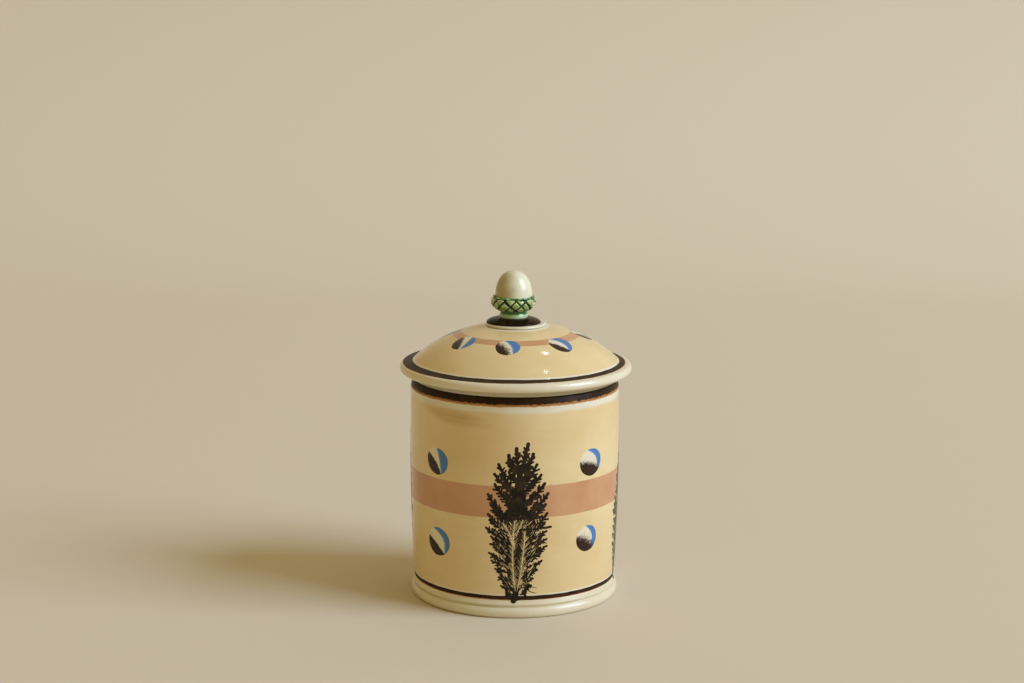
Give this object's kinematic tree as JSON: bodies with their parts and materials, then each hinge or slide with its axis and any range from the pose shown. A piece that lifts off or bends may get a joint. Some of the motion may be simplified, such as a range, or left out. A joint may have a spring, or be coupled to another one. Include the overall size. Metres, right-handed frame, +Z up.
{
  "type": "lidded canister",
  "caption": "Round glazed earthenware canister with slip bands, a flanged domed lid that lifts off, and an acorn knob.",
  "frame": {"origin": "middle of the flat face that the foot stands on", "axes": "+Z up along the jar's axis, -Y towards the front of the picture, +X to its right"},
  "size_m": [0.1216, 0.1216, 0.1719],
  "materials": {
    "cream_glaze": "cream earthenware under clear gloss glaze",
    "buff_slip": "buff slip under clear gloss glaze",
    "terracotta_slip": "terracotta slip under clear gloss glaze",
    "brown_slip": "dark brown slip under clear gloss glaze",
    "green_glaze": "gloss green glaze, pooled dark in the cuts"
  },
  "bodies": {
    "jar": {"jar_body": "cream_glaze", "jar_foot_line": "brown_slip", "jar_lower_field": "buff_slip", "jar_terracotta_band": "terracotta_slip", "jar_upper_field": "buff_slip", "jar_rim_band": "brown_slip"},
    "lid": {"lid_body": "cream_glaze", "lid_rim_line": "brown_slip", "lid_outer_field": "buff_slip", "lid_terracotta_band": "terracotta_slip", "lid_inner_field": "buff_slip", "knob_disc": "cream_glaze", "knob_seat": "brown_slip", "acorn_cup": "green_glaze", "acorn_nut": "cream_glaze"}
  },
  "joints": [
    {"name": "lid_lift", "type": "slide", "parent": "jar", "child": "lid", "axis": [0, 0, 1], "range_m": [0, 0.1]}
  ]
}
